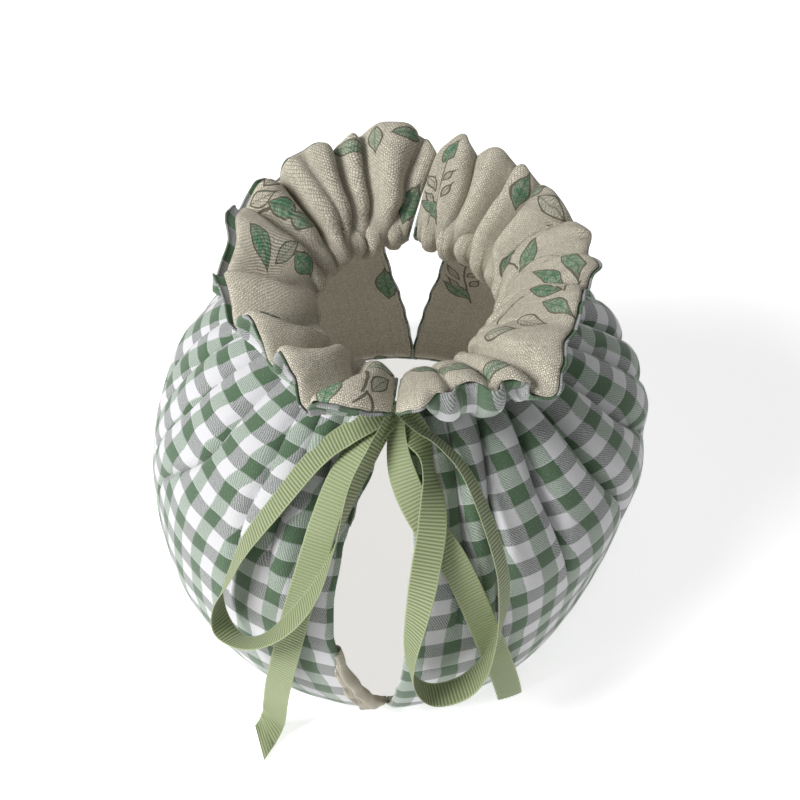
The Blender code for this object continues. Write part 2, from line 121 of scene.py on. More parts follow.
PLEATS_LEFT = (
    (98.0, 98.0, 99.0, 3.0, -0.2, 60.0, 0.9), (110.0, 111.0, 112.0, 5.5, 0.3, 50.0, 1.0),
    (123.0, 124.0, 125.0, 3.5, -0.4, 60.0, 0.7), (135.0, 138.0, 140.0, 6.0, 0.4, 46.0, 1.0),
    (148.0, 152.0, 155.0, 3.5, 0.5, 56.0, 0.6), (161.0, 168.0, 175.0, 5.0, 0.6, 48.0, 0.9),
    (176.0, 180.0, 182.0, 3.0, 0.5, 62.0, 0.5), (190.0, 192.0, 189.0, 3.4, 0.6, 54.0, 0.45),
    (205.0, 208.5, 197.5, 4.6, 0.6, 46.0, 0.4), (219.0, 227.0, 230.0, 4.4, 0.6, 50.0, 0.4),
    (229.5, 236.5, 240.0, 2.4, 0.3, 60.0, 0.6), (238.0, 244.0, 246.0, 5.5, 0.4, 52.0, 0.9),
    (250.0, 254.0, 254.0, 2.6, 0.2, 66.0, 0.8),
)
GATHERS_RIGHT = (
    # azimuth at the neck, halfway, at the frill's edge, then depth at the same, lean
    (-77.0, -77.0, -76.0, 1.4, 1.0, 2.0, 0.2), (-64.0, -64.0, -63.0, 1.4, 1.6, 2.4, 0.3),
    (-52.0, -51.0, -50.0, 5.5, 7.5, 3.0, -0.4), (-30.0, -30.0, -28.0, 1.2, 0.3, 0.0, 0.0),
    (-10.0, -10.0, -10.0, 1.0, 0.2, 3.4, 0.0), (5.0, 6.0, 5.5, 1.2, 0.4, 5.0, -0.2),
    (21.0, 20.0, 19.0, 1.5, 0.6, 3.6, 0.0), (37.5, 38.5, 39.5, 4.0, 8.5, 3.4, -0.5),
    (53.5, 52.0, 52.0, 4.0, 9.5, 6.0, -0.5), (63.0, 61.0, 64.5, 1.5, 3.0, 5.5, 0.2),
    (74.0, 75.0, 74.0, 1.5, 0.3, 0.0, 0.0),
)
GATHERS_LEFT = (
    (98.5, 90.0, 84.5, 3.0, 9.0, 5.0, 0.3), (112.0, 105.5, 103.5, 4.5, 9.0, 5.0, 0.4),
    (124.5, 115.5, 112.5, 5.0, 10.5, 7.0, 0.5), (132.0, 127.0, 127.0, 4.0, 0.4, 0.0, 0.2),
    (143.5, 139.5, 137.5, 5.5, 11.5, 8.5, -0.3), (155.0, 150.5, 151.0, 5.0, 10.0, 6.0, 0.6),
    (171.5, 176.0, 178.0, 6.0, 13.5, 9.0, 0.5), (205.0, 206.0, 197.0, 6.0, 13.0, 8.0, 0.4),
    (218.0, 223.0, 217.0, 5.5, 12.5, 7.5, 0.4), (236.0, 245.5, 237.0, 6.0, 12.5, 7.0, 0.4),
)


def ease(x):
    x = np.clip(x, 0.0, 1.0)
    return x * x * (3.0 - 2.0 * x)


def table_value(table, x, column):
    """Value of a table at x, eased from row to row."""
    keys = np.array([row[0] for row in table])
    values = np.array([row[column] for row in table])
    x = np.clip(x, keys[0], keys[-1])
    i = np.clip(np.searchsorted(keys, x, side="right") - 1, 0, len(keys) - 2)
    part = (x - keys[i]) / (keys[i + 1] - keys[i])
    return values[i] + (values[i + 1] - values[i]) * ease(part)


def smooth_curve(points, steps):
    """Points of a smooth curve through the given rows."""
    rows = [np.array(row, float) for row in points]
    rows = [2 * rows[0] - rows[1]] + rows + [2 * rows[-1] - rows[-2]]
    out = []
    for k in range(1, len(rows) - 2):
        a, b, c, d = rows[k - 1:k + 3]
        for j in range(steps):
            t = j / steps
            out.append(0.5 * (2 * b + (c - a) * t + (2 * a - 5 * b + 4 * c - d) * t * t
                              + (3 * b - a - 3 * c + d) * t ** 3))
    out.append(rows[-2])
    return np.array(out)


FINE_PROFILE = smooth_curve(WALL_PROFILE, 8)
PROFILE_STEPS = np.linalg.norm(np.diff(FINE_PROFILE, axis=0), axis=1)
PROFILE_LENGTH = np.concatenate([[0.0], np.cumsum(PROFILE_STEPS)])
WALL_ALONG = PROFILE_LENGTH[-1]


def hill(x, middle, width):
    """1 at the middle, falling off on both sides."""
    return np.exp(-((x - middle) / width) ** 2)


def hill_round(azimuth, middle, width):
    return hill((azimuth - middle + 180.0) % 360.0 - 180.0, 0.0, width)


def wall_radius(azimuth, height):
    """Radius of the wall without its pleats."""
    radius = np.interp(height, FINE_PROFILE[:, 1], FINE_PROFILE[:, 0])
    low = ease((78.0 - height) / 48.0)
    for sag, middle, width in SLUMPS:
        radius = radius + low * sag * hill_round(azimuth, middle, width)
    for puff, middle, width, centre, spread in SHOULDERS:
        radius = radius + puff * hill_round(azimuth, middle, width) * hill(height, centre, spread)
    return radius


def on_wall(azimuth, height, stand_off=0.0):
    """Place on the wall, or the stand-off outside it."""
    angle = np.radians(azimuth)
    reach = wall_radius(azimuth, height) + stand_off
    side = NECK_SIDE_SHIFT * ease((height - 60.0) / 60.0)
    return np.stack([side + reach * np.cos(angle), reach * np.sin(angle),
                     height + 0.0 * reach], -1)


def unit(rows):
    return rows / np.linalg.norm(rows, axis=-1, keepdims=True)


def unevenness(x, y, size, seed):
    """Slow bumps of about the given size over the cloth, mostly from -1 to 1."""
    draw = np.random.default_rng(seed)
    total = 0.0
    for _ in range(7):
        turn, start = draw.uniform(0.0, 2.0 * math.pi, 2)
        wave = 2.0 * math.pi / (size * draw.uniform(0.7, 1.7))
        total = total + np.sin((x * math.cos(turn) + y * math.sin(turn)) * wave + start)
    return total / 3.2


FOLD_STEPS = (1.0 - np.cos(np.linspace(0.0, math.pi, 33))) / 2.0
VALLEY_SHARE = 0.55                        # of the cloth between two valleys, at most
VALLEY_LEAST = 0.8                         # width that even a flat valley has on each side
VALLEY_ROUNDING = 0.6
STEEPEST = 0.9                             # depth of a valley against the room beside it
NARROWEST = 0.5                            # between two valleys
WIDEST_PUFF = 18.0
FULL_PUFF_DEPTH = 6.0
SLIT_DIP = 0.3                             # the cloth's dip at the slits' edges


def valley(distance, depth, width, spread, gap):
    """How far cloth dips at a distance from a valley line."""
    side = np.minimum(VALLEY_SHARE * width, spread * depth + VALLEY_LEAST)
    near = np.clip(1.0 - np.maximum(distance - gap, 0.0) / side, 0.0, 1.0)
    return depth * (1.0 - (1.0 - near ** 2) ** VALLEY_ROUNDING)


def folded(u, reach, valleys, gap, puffed):
    """Cloth gathered between valleys: its azimuth at u, and its height.

    valleys has a row for each valley, slit edges included: its azimuth and its depth, both
    arrays like u, its lean and its spread. The cloth lies evenly along the folds, down
    into the valleys and out again. A lean over 0 lays the cloth that follows a valley back
    over it. The spread is the valley's width on each side, in depths. gap is half the
    width of a valley at its bottom, and puffed is how far the cloth stands up between
    valleys, as a share of their distance.
    """
    lines, depths, leans, spreads = zip(*valleys)
    count = len(lines) - 1
    widths = [np.maximum(np.radians(lines[i + 1] - lines[i]) * reach, NARROWEST)
              for i in range(count)]
    room = [widths[0]] + widths + [widths[-1]]
    depths = [np.minimum(depth, STEEPEST * np.minimum(room[i], room[i + 1]))
              for i, depth in enumerate(depths)]
    part = FOLD_STEPS.reshape((-1,) + (1,) * u.ndim)
    folds = []
    for i in range(count):
        drop_first = valley(part * widths[i], depths[i], widths[i], spreads[i], gap)
        drop_last = valley((1.0 - part) * widths[i], depths[i + 1], widths[i],
                           spreads[i + 1], gap)
        puff = (puffed * np.minimum(widths[i], WIDEST_PUFF)
                * np.clip((depths[i] + depths[i + 1]) / FULL_PUFF_DEPTH, 0.0, 1.0))
        rise = puff * np.sin(math.pi * part) ** 2 - drop_first - drop_last
        over = part * widths[i] + leans[i] * drop_first + leans[i + 1] * drop_last
        steps = np.hypot(np.diff(over, axis=0), np.diff(rise, axis=0))
        folds.append((over, rise, np.concatenate([0.0 * rise[:1], np.cumsum(steps, axis=0)])))
    total = sum(lengths[-1] for _, _, lengths in folds)
    azimuth = np.zeros_like(u)
    height = np.zeros_like(u)
    begin = 0.0
    for i, (over, rise, lengths) in enumerate(folds):
        wanted = u * total - begin
        inside = (wanted >= 0.0) & ((wanted < lengths[-1]) | (i == count - 1))
        begin = begin + lengths[-1]
        k = np.clip(np.sum(lengths <= wanted[None], axis=0) - 1, 0, len(FOLD_STEPS) - 2)[None]
        low = np.take_along_axis(lengths, k, 0)[0]
        step = np.take_along_axis(lengths, k + 1, 0)[0] - low
        t = np.clip((wanted - low) / np.maximum(step, 1e-9), 0.0, 1.0)
        across = ((1.0 - t) * np.take_along_axis(over, k, 0)[0]
                  + t * np.take_along_axis(over, k + 1, 0)[0])
        up = ((1.0 - t) * np.take_along_axis(rise, k, 0)[0]
              + t * np.take_along_axis(rise, k + 1, 0)[0])
        azimuth = np.where(inside, lines[i] + np.degrees(across / reach), azimuth)
        height = np.where(inside, up, height)
    return azimuth, height


class Panel:
    """One side panel as a surface over its cloth.

    u runs 0 to 1 across the cloth, v is the height up the wall to the neck and the
    neck height plus 0 to 1 along the frill.
    """

    def __init__(self, name, right, edge, pleats, gathers, seed):
        self.name = name
        self.right = right
        self.edge = edge
        self.pleats = pleats
        self.gathers = gathers
        self.seed = seed

    def borders(self, v):
        """Azimuth of the two slit edges at v."""
        height = np.minimum(v, NECK_HEIGHT)
        along = np.clip(v - NECK_HEIGHT, 0.0, 1.0)
        half = table_value(SLITS, height, 1)
        front = table_value(SLITS, height, 2)
        back = table_value(SLITS, height, 3)
        half_front = half + (FRILL_SLIT_HALF_FRONT - half) * along
        half_back = half + (FRILL_SLIT_HALF_BACK - half) * along
        back = back + (FRILL_SLIT_BACK - back) * along
        reach = wall_radius(front, height) + along * FRILL_FLARE
        open_front = np.degrees(half_front / reach)
        open_back = np.degrees(half_back / reach)
        if self.right:
            return front - 360.0 + open_front, back - open_back
        return back + open_back, front - open_front

    def base(self, azimuth, v, side):
        """The surface without its folds. side is 1 for the outer cloth, -1 for the lining,
        which part where the frill's edge is turned up."""
        height = np.minimum(v, NECK_HEIGHT)
        t = np.clip(v - NECK_HEIGHT, 0.0, 1.0)
        wall = on_wall(azimuth, height)
        edge_radius = table_value(self.edge, azimuth, 1)
        edge_height = table_value(self.edge, azimuth, 2)
        upturn = table_value(self.edge, azimuth, 3)
        out_low = upturn * max(side, 0)
        in_high = upturn * max(-side, 0)
        s = 1.0 - t
        radius = (s ** 3 * NECK_RADIUS
                  + 3 * s * s * t * (FRILL_BEND_LOW[0] + 3.5 * out_low)
                  + 3 * s * t * t * (FRILL_BEND_HIGH[0] + 12.0 * out_low - 2.0 * in_high)
                  + t ** 3 * edge_radius)
        rise = (s ** 3 * NECK_HEIGHT
                + 3 * s * s * t * (FRILL_BEND_LOW[1] - 9.0 * out_low - 2.0 * in_high)
                + 3 * s * t * t * (FRILL_BEND_HIGH[1] - 23.0 * out_low - 1.5 * in_high)
                + t ** 3 * edge_height)
        angle = np.radians(azimuth)
        frill = np.stack([NECK_SIDE_SHIFT + radius * np.cos(angle),
                          radius * np.sin(angle), rise], -1)
        return np.where((t > 0.0)[..., None], frill, wall)

    def base_normal(self, azimuth, v, side):
        """Unit normal, outward on the wall and downward on the frill."""
        across = self.base(azimuth + 0.2, v, side) - self.base(azimuth - 0.2, v, side)
        on_frill = v > NECK_HEIGHT
        step = np.where(on_frill, 0.01, 0.5)
        low = np.maximum(v - step, np.where(on_frill, NECK_HEIGHT + 1e-6, 0.0))
        high = np.minimum(v + step, np.where(on_frill, NECK_HEIGHT + 1.0, NECK_HEIGHT))
        return unit(np.cross(across,
                             self.base(azimuth, high, side) - self.base(azimuth, low, side)))

    def seam_surface(self, u, v, side):
        """The folded surface between the outer cloth and the lining."""
        start, end = self.borders(v)
        azimuth = start + (end - start) * u
        height = np.minimum(v, NECK_HEIGHT)
        t = np.clip(v - NECK_HEIGHT, 0.0, 1.0)
        wall_reach = wall_radius(start + (end - start) * 0.5, height)

        fade = 1.0 - 0.5 * ease((height - 110.0) / 19.0)
        dip = SLIT_DIP + 0.0 * start
        valleys = [(start, dip, 0.0, 1.0)]
        for at_neck, at_high, at_low, depth, lean, end_height, spread in self.pleats:
            stations = ((60.0, at_low), (95.0, at_high), (NECK_HEIGHT, at_neck))
            valleys.append((table_value(stations, height, 1),
                            depth * fade * ease((height - end_height) / 42.0), lean, spread))
        valleys.append((end, dip, 0.0, 1.0))
        wall_azimuth, wall_height = folded(u, wall_reach, valleys, gap=1.2, puffed=0.07)

        reach = NECK_RADIUS + FRILL_FLARE * t
        valleys = [(start, dip, 0.0, FRILL_VALLEY_SPREAD)]
        for at_neck, halfway, at_edge, neck_depth, half_depth, edge_depth, lean in self.gathers:
            stations = ((0.0, at_neck), (0.5, halfway), (1.0, at_edge))
            depth = (half_depth + (neck_depth - half_depth) * ease(1.0 - 2.0 * t)
                     + (edge_depth - half_depth) * ease((t - 0.6) / 0.4))
            valleys.append((table_value(stations, t, 1), depth, lean, FRILL_VALLEY_SPREAD))
        valleys.append((end, dip, 0.0, FRILL_VALLEY_SPREAD))
        frill_azimuth, frill_height = folded(u, reach, valleys, gap=1.9, puffed=0.14)

        turn_out = ease(t / 0.35)
        across = u * CLOTH_ACROSS
        along = np.interp(height, FINE_PROFILE[:, 1], PROFILE_LENGTH) + t * FRILL_ALONG
        tuck_phase = across * math.pi / TUCK_PITCH + 0.5 * np.sin(across / 17.0)
        tucks = TUCK_DEPTH * (np.abs(np.sin(tuck_phase)) ** 0.8 - 0.6)
        drawn_in = hill(along, WALL_ALONG + 2.0, 7.0)
        slow = (0.35 * unevenness(across, along * 0.6, 30.0, self.seed)
                + 0.07 * unevenness(across, along, 10.0, self.seed + 1))
        pucker_phase = across * 2.0 * math.pi / PUCKER_PITCH + 1.5 * np.sin(across / 9.0)
        pucker = PUCKER_DEPTH * np.sin(pucker_phase)
        at_slit = np.minimum(u, 1.0 - u) * np.radians(end - start) * reach
        corner = np.clip(1.0 - at_slit / CORNER_REACH, 0.0, 1.0) ** 2 * ease(t / 0.4)
        lift = (wall_height * (1.0 - turn_out) - frill_height * turn_out
                - drawn_in * tucks * (1.0 - 2.0 * turn_out)
                + slow + pucker * ease((t - 0.75) / 0.25) + CORNER_LIFT * corner)
        azimuth = wall_azimuth * (1.0 - turn_out) + frill_azimuth * turn_out
        v = np.where(t > 0.0, NECK_HEIGHT + t * (1.0 - 0.14 * corner), v)
        point = self.base(azimuth, v, side)
        return point + self.base_normal(azimuth, v, side) * lift[..., None]


RIGHT = Panel("right", True, FRILL_EDGE_RIGHT, PLEATS_RIGHT, GATHERS_RIGHT, seed=11)
LEFT = Panel("left", False, FRILL_EDGE_LEFT, PLEATS_LEFT, GATHERS_LEFT, seed=23)

CLOTH_COLUMNS = 400
CLOTH_ROWS = 96
LINING_SHORT = 1.0                         # the lining stops short of the outer cloth
LINING_SHORT_FRILL = 0.3                   # at the slits, beside the frill
LINING_SHORT_TOP = 0.2                     # least at the frill's edge
EDGE_STATIONS = 4.0 * np.array([0.0, 0.08, 0.25, 0.5, 0.85, 1.3, 1.9]) / 1.9


def close_to_edge(length, count):
    """Stations from 0 to length, crowded at both ends for a rounded edge."""
    near = EDGE_STATIONS[-1]
    middle = np.linspace(near, length - near, count)[1:-1]
    return np.concatenate([EDGE_STATIONS, middle, (length - EDGE_STATIONS)[::-1]])


def rounded(distance, radius):
    """Quarter round: 0 at the edge, 1 past the radius."""
    x = np.clip(distance / radius, 0.0, 1.0)
    return np.sqrt(np.clip(1.0 - (1.0 - x) ** 2, 0.0, 1.0))


def finished_piece(name, mesh):
    """The bmesh as an object of the scene, smooth all over."""
    for face in mesh.faces:
        face.smooth = True
    data = bpy.data.meshes.new(name)
    mesh.to_mesh(data)
    mesh.free()
    piece = bpy.data.objects.new(name, data)
    bpy.context.scene.collection.objects.link(piece)
    return piece


def thicken(piece):
    """Gives a cloth piece its thickness, half on each side."""
    thick = piece.modifiers.new("thickness", "SOLIDIFY")
    thick.thickness = CLOTH_THICKNESS * MM
    thick.offset = 0.0
    thick.use_even_offset = False


def cloth_piece(name, panel, side, wall_away, frill_away, at_edge, radius, hem):
    """A panel's cloth as a thick sheet, with its UVs in cloth millimetres.

    side is 1 for outer cloth and -1 for lining. wall_away and frill_away are how far the
    middle of the cloth lies from the seam surface, at_edge how far at its own edges,
    radius how far the edges are rounded and hem how high the hem lies.
    """
    across = close_to_edge(CLOTH_ACROSS, CLOTH_COLUMNS) / CLOTH_ACROSS
    along = close_to_edge(WALL_ALONG + FRILL_ALONG, CLOTH_ROWS)
    mesh = bmesh.new()
    bmesh.ops.create_grid(mesh, x_segments=len(across) - 1, y_segments=len(along) - 1,
                          size=1.0)
    spots = np.array([vert.co[:] for vert in mesh.verts])
    column = np.rint((spots[:, 0] + 1.0) / 2.0 * (len(across) - 1)).astype(int)
    row = np.rint((spots[:, 1] + 1.0) / 2.0 * (len(along) - 1)).astype(int)

    u, cloth_v = np.meshgrid(across, along)
    height = np.interp(cloth_v, PROFILE_LENGTH, FINE_PROFILE[:, 1])
    t = np.clip((cloth_v - WALL_ALONG) / FRILL_ALONG, 0.0, 1.0)
    height = hem + height * (1.0 - hem / NECK_HEIGHT)
    start, end = panel.borders(np.where(t > 0.0, NECK_HEIGHT + t, height))
    short = 0.0
    at_slit = 0.0
    if side < 0:
        short = LINING_SHORT_TOP + table_value(panel.edge, start + (end - start) * u, 4)
        short = LINING_SHORT + (short - LINING_SHORT) * ease(t / 0.5)
        at_slit = LINING_SHORT + (LINING_SHORT_FRILL - LINING_SHORT) * ease(t / 0.4)
    v = np.where(t > 0.0, NECK_HEIGHT + t * (1.0 - short / FRILL_ALONG), height)
    reach = wall_radius(start, np.minimum(v, NECK_HEIGHT)) + FRILL_FLARE * t
    width = np.radians(end - start) * reach
    u = 0.5 + (u - 0.5) * (1.0 - 2.0 * at_slit / width)
    points = panel.seam_surface(u, v, side)
    normal = unit(np.cross(np.gradient(points, axis=1), np.gradient(points, axis=0)))
    from_side = np.minimum(across, 1.0 - across)[None, :] * width
    from_top = (along[-1] - along)[:, None]
    from_hem = along[:, None]
    radius = radius * (1.0 + 0.8 * t)
    full = rounded(from_side, radius) * rounded(from_top, radius) * rounded(from_hem, radius)
    middle = wall_away + (frill_away - wall_away) * ease(t / 0.4)
    points = points + normal * (at_edge + (middle - at_edge) * full)[..., None]
    points[..., 2] = np.maximum(points[..., 2], CLOTH_THICKNESS / 2.0 + TABLE_GAP)

    placed = (points[row, column] + ROW_SHIFT) * MM
    for vert, spot in zip(mesh.verts, placed):
        vert.co = spot
    cloth_uv = mesh.loops.layers.uv.new("cloth")
    cloth_u = across * CLOTH_ACROSS
    for face in mesh.faces:
        for loop in face.loops:
            k = loop.vert.index
            loop[cloth_uv].uv = (cloth_u[column[k]], along[row[k]])
    piece = finished_piece(name, mesh)
    thicken(piece)
    return piece


class Wire:
    """A shader socket that can be used in Python arithmetic."""

    def __init__(self, finish, socket):
        self.finish = finish
        self.socket = socket

    def maths(self, operation, *values):
        return self.finish.node("ShaderNodeMath", {"operation": operation},
                                dict(enumerate(values)))

    def __add__(self, other):
        return self.maths("ADD", self, other)

    def __sub__(self, other):
        return self.maths("SUBTRACT", self, other)

    def __rsub__(self, other):
        return self.maths("SUBTRACT", other, self)

    def __mul__(self, other):
        return self.maths("MULTIPLY", self, other)

    def __truediv__(self, other):
        return self.maths("DIVIDE", self, other)

    def __mod__(self, other):
        return self.maths("FLOORED_MODULO", self, other)

    def __lt__(self, other):
        return self.maths("LESS_THAN", self, other)

    def __gt__(self, other):
        return self.maths("GREATER_THAN", self, other)

    def __abs__(self):
        return self.maths("ABSOLUTE", self)

    def floor(self):
        return self.maths("FLOOR", self)

    def least(self, other):
        return self.maths("MINIMUM", self, other)

    def most(self, other):
        return self.maths("MAXIMUM", self, other)

    def sine(self):
        return self.maths("SINE", self)

    def between(self, low, high):
        """0 below low, 1 above high, smooth between. low may be over high."""
        return self.finish.node("ShaderNodeMapRange", {"interpolation_type": "SMOOTHSTEP"},
                                {0: self, 1: low, 2: high})

    def split(self):
        """The first two numbers of a place, such as across and along the cloth."""
        first = self.finish.node("ShaderNodeSeparateXYZ", None, {0: self})
        return first, Wire(self.finish, first.socket.node.outputs[1])

    __radd__ = __add__
    __rmul__ = __mul__


class Finish:
    """A material built as a chain of nodes."""

    def __init__(self, name, roughness):
        self.material = bpy.data.materials.new(name)
        self.material.use_nodes = True
        self.tree = self.material.node_tree
        self.shader = self.tree.nodes["Principled BSDF"]
        self.shader.inputs["Roughness"].default_value = roughness
        self.shader.inputs["Specular IOR Level"].default_value = 0.25

    def node(self, kind, settings=None, values=None, output=0):
        """Adds a node, makes its settings, then fills its sockets."""
        made = self.tree.nodes.new(kind)
        for key, value in (settings or {}).items():
            setattr(made, key, value)
        for key, value in (values or {}).items():
            if isinstance(value, Wire):
                self.tree.links.new(value.socket, made.inputs[key])
            else:
                made.inputs[key].default_value = value
        return Wire(self, made.outputs[output])

    def on_cloth(self):
        """The cloth's own millimetres, across and along it."""
        return self.node("ShaderNodeUVMap", {"uv_map": "cloth"})

    def noise(self, place, scale, detail, output=0):
        return self.node("ShaderNodeTexNoise", {"noise_dimensions": "2D"},
                         {"Vector": place, "Scale": scale, "Detail": detail}, output)

    def vector(self, operation, *values, output=0):
        return self.node("ShaderNodeVectorMath", {"operation": operation},
                         dict(enumerate(values)), output)

    def mix(self, amount, first, second):
        """Colour that goes from first to second."""
        return self.node("ShaderNodeMix", {"data_type": "RGBA"},
                         {0: amount, 6: first, 7: second}, 2)

    def feed(self, socket, wire):
        self.tree.links.new(wire.socket, self.shader.inputs[socket])

    def bump(self, height, distance):
        """Relief in metres for a height from 0 to 1."""
        self.feed("Normal", self.node("ShaderNodeBump", None,
                                      {"Height": height, "Distance": distance}))


def colour(red, green, blue):
    return (red, green, blue, 1.0)


CHECK = 6.35                               # side of one square
ROW_START = 8.35                           # puts a dark row at the edge of the frill
TWILL_PITCH = 0.74                         # across the cloth, between twill lines
TWILL_SLOPE = 0.58
EDGE_YARN = 0.36                           # paler yarn along the edge of a green square
COTTON_WHITE = colour(0.71, 0.705, 0.725)
COTTON_GREEN = colour(0.110, 0.215, 0.105)  # warp, up and down the cosy
COTTON_DARK = colour(0.060, 0.082, 0.060)   # weft, round the cosy
COTTON_SLUB = colour(0.42, 0.44, 0.40)

gingham = Finish("gingham", 0.85)
cloth = gingham.on_cloth()
warp, weft = cloth.split()
wander = gingham.noise(cloth, 0.09, 1.0)
uneven = gingham.noise(cloth, 0.7, 1.0)
warp = warp + (wander - 0.5) * 1.1 + (uneven - 0.5) * 0.35
weft = weft + (wander - 0.5) * 1.1
green_warp = (warp % (2 * CHECK)) < CHECK
dark_weft = ((weft + ROW_START) % (2 * CHECK)) < CHECK
grain = gingham.noise(cloth, 2.6, 2.0)
twill = (warp + weft * TWILL_SLOPE) * (2.0 * math.pi / TWILL_PITCH) + (grain - 0.5) * 2.4
over = (twill.sine() + (grain - 0.5) * 1.6).between(-0.45, 0.45)
warp_yarn = gingham.mix(green_warp, COTTON_WHITE, COTTON_GREEN)
weft_yarn = gingham.mix(dark_weft, COTTON_WHITE, COTTON_DARK)
slub = gingham.noise(cloth, 1.3, 3.0)
edge_line = ((warp % CHECK) < EDGE_YARN).most((weft + ROW_START) % CHECK < EDGE_YARN)
dyed = gingham.mix(over * 0.36 + (grain - 0.5) * 0.5 + 0.32 + (green_warp - dark_weft) * 0.1,
                   weft_yarn, warp_yarn)
dyed = gingham.mix(edge_line * green_warp * 0.3, dyed, COTTON_WHITE)
gingham.feed("Base Color", gingham.mix((slub - 0.5).between(0.0, 0.35) * 0.16, dyed,
                                       COTTON_SLUB))
gingham.bump(over * 0.6 + grain * 0.4, 0.00008)
gingham.shader.inputs["Sheen Weight"].default_value = 0.35

for panel in (RIGHT, LEFT):
    piece = cloth_piece("outer_cloth_" + panel.name, panel, 1, wall_away=1.35,
                        frill_away=1.7, at_edge=0.15, radius=2.8, hem=0.4)
    piece.data.materials.append(gingham.material)
    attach(piece, "root")
    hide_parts("outer_" + panel.name)

# ---------------------------------------------------------------------------
# Linings. Natural plain-weave linen printed with leaf sprigs, one for each outer panel
# and sewn to it along the frill's edge, the slits and the hem. On the frill it is the
# side that shows.
# ---------------------------------------------------------------------------
LINEN_THREAD = 0.52
LINEN = colour(0.90, 0.845, 0.705)
LINEN_DARK = colour(0.115, 0.095, 0.06)
PRINT_LINE = colour(0.085, 0.08, 0.052)
PRINT_GREEN = colour(0.16, 0.41, 0.23)
PRINT_DEEP = colour(0.03, 0.075, 0.045)
PRINT_REPEAT = 66.0                        # down the cloth, from just below the neck
PRINT_START = WALL_ALONG - 6.0
LINE_HALF = 0.2                            # half width of a printed line, and where it ends
LINE_END = 0.42
TWIG_HALF = 0.12
MIDRIB_HALF = 0.24
FILL_INSET = 0.35                          # the green stops short of the leaf's outline
SIDE_VEINS = 4.2                           # pairs of veins in half a leaf
VEIN_SLANT = 1.6
VEIN_SHARE = 0.2
HAND_SHAKE = 0.4

LEAVES_RIGHT = (
    # azimuth, place along the frill, direction of the tip, length, width, how green
    (73.0, 0.82, -25.0, 10.0, 5.0, 1.0), (77.0, 0.34, 55.0, 9.0, 4.6, 0.9),
    (79.0, 0.58, 35.0, 7.0, 2.8, 0.0), (78.0, 0.44, 40.0, 5.0, 2.2, 0.0),
    (70.0, 0.52, -25.0, 5.5, 2.2, 0.0), (71.0, 0.64, -35.0, 5.0, 2.0, 0.0),
    (42.0, 0.82, 10.0, 13.0, 5.4, 1.0), (34.0, 0.86, -10.0, 11.0, 4.6, 0.7),
    (26.0, 0.90, -76.0, 11.0, 6.0, 0.15), (12.0, 0.52, 44.0, 13.5, 5.0, 0.9),
    (19.0, 0.28, 32.0, 12.0, 5.2, 1.0), (-1.5, 0.86, -50.0, 16.0, 5.0, 0.9),
    (-5.0, 0.68, -37.0, 15.0, 5.4, 1.0), (-13.0, 0.68, -18.0, 14.0, 5.2, 1.0),
    (-21.0, 0.84, -20.0, 14.0, 5.4, 0.9), (-30.0, 0.64, -7.0, 13.0, 6.8, 0.1),
    (-40.0, 0.47, 20.0, 12.0, 4.4, 0.15), (-79.0, 0.56, 60.0, 15.0, 5.4, 0.8),
    (-68.0, 0.74, 75.0, 14.0, 5.4, 0.6), (-58.0, 0.84, 80.0, 11.0, 5.0, 0.7),
    (-53.0, 0.80, 20.0, 10.0, 4.4, 0.0),
)
LEAVES_LEFT = (
    (99.0, 0.88, 172.0, 10.0, 5.0, 0.6), (90.0, 0.93, -90.0, 11.0, 4.0, 0.9),
    (110.0, 0.90, -130.0, 10.0, 4.6, 0.7), (88.5, 0.37, -20.0, 14.0, 5.8, 1.0),
    (145.0, 0.74, -175.0, 12.0, 5.0, 1.0), (143.0, 0.55, -170.0, 9.0, 4.6, 0.9),
    (147.0, 0.92, -120.0, 9.5, 4.8, 0.0), (141.0, 0.95, -95.0, 9.0, 4.4, 0.0),
    (166.0, 0.77, 147.0, 16.0, 6.0, 1.0), (163.5, 0.56, -113.0, 11.0, 5.2, 0.3),
    (165.5, 0.36, 178.0, 11.0, 5.8, 1.0), (208.0, 0.79, 154.0, 13.0, 5.2, 1.0),
    (246.5, 0.88, 174.0, 16.0, 7.0, 1.0), (257.0, 0.40, 150.0, 13.0, 5.6, 0.5),
    (260.0, 0.70, 160.0, 12.0, 4.8, 0.3),
)
TWIGS_RIGHT = (
    # azimuth and place along the frill of one end, and of the other
    (73.0, 0.20, 75.5, 0.80), (17.0, 0.24, 10.0, 0.42),
    (-27.0, 0.20, -16.0, 0.34), (-16.0, 0.34, -13.0, 0.46), (-15.0, 0.84, -9.0, 0.95),
    (-84.0, 0.42, -60.0, 0.80), (-66.0, 0.50, -60.0, 0.72),
)
TWIGS_LEFT = (
    (253.5, 0.45, 256.5, 0.86), (256.5, 0.86, 254.5, 0.98), (256.5, 0.86, 260.5, 0.95),
    (254.5, 0.58, 250.5, 0.84),
    (152.0, 0.92, 143.0, 0.66), (166.5, 0.64, 162.0, 0.44), (88.0, 0.20, 86.0, 0.40),
)
GRID_ACROSS = np.linspace(0.0, 1.0, 900)
GRID_OUT = np.linspace(0.02, 1.0, 50)
NEAR_COLUMNS = 12                          # steps are measured over this much of the grid
NEAR_ROWS = 4


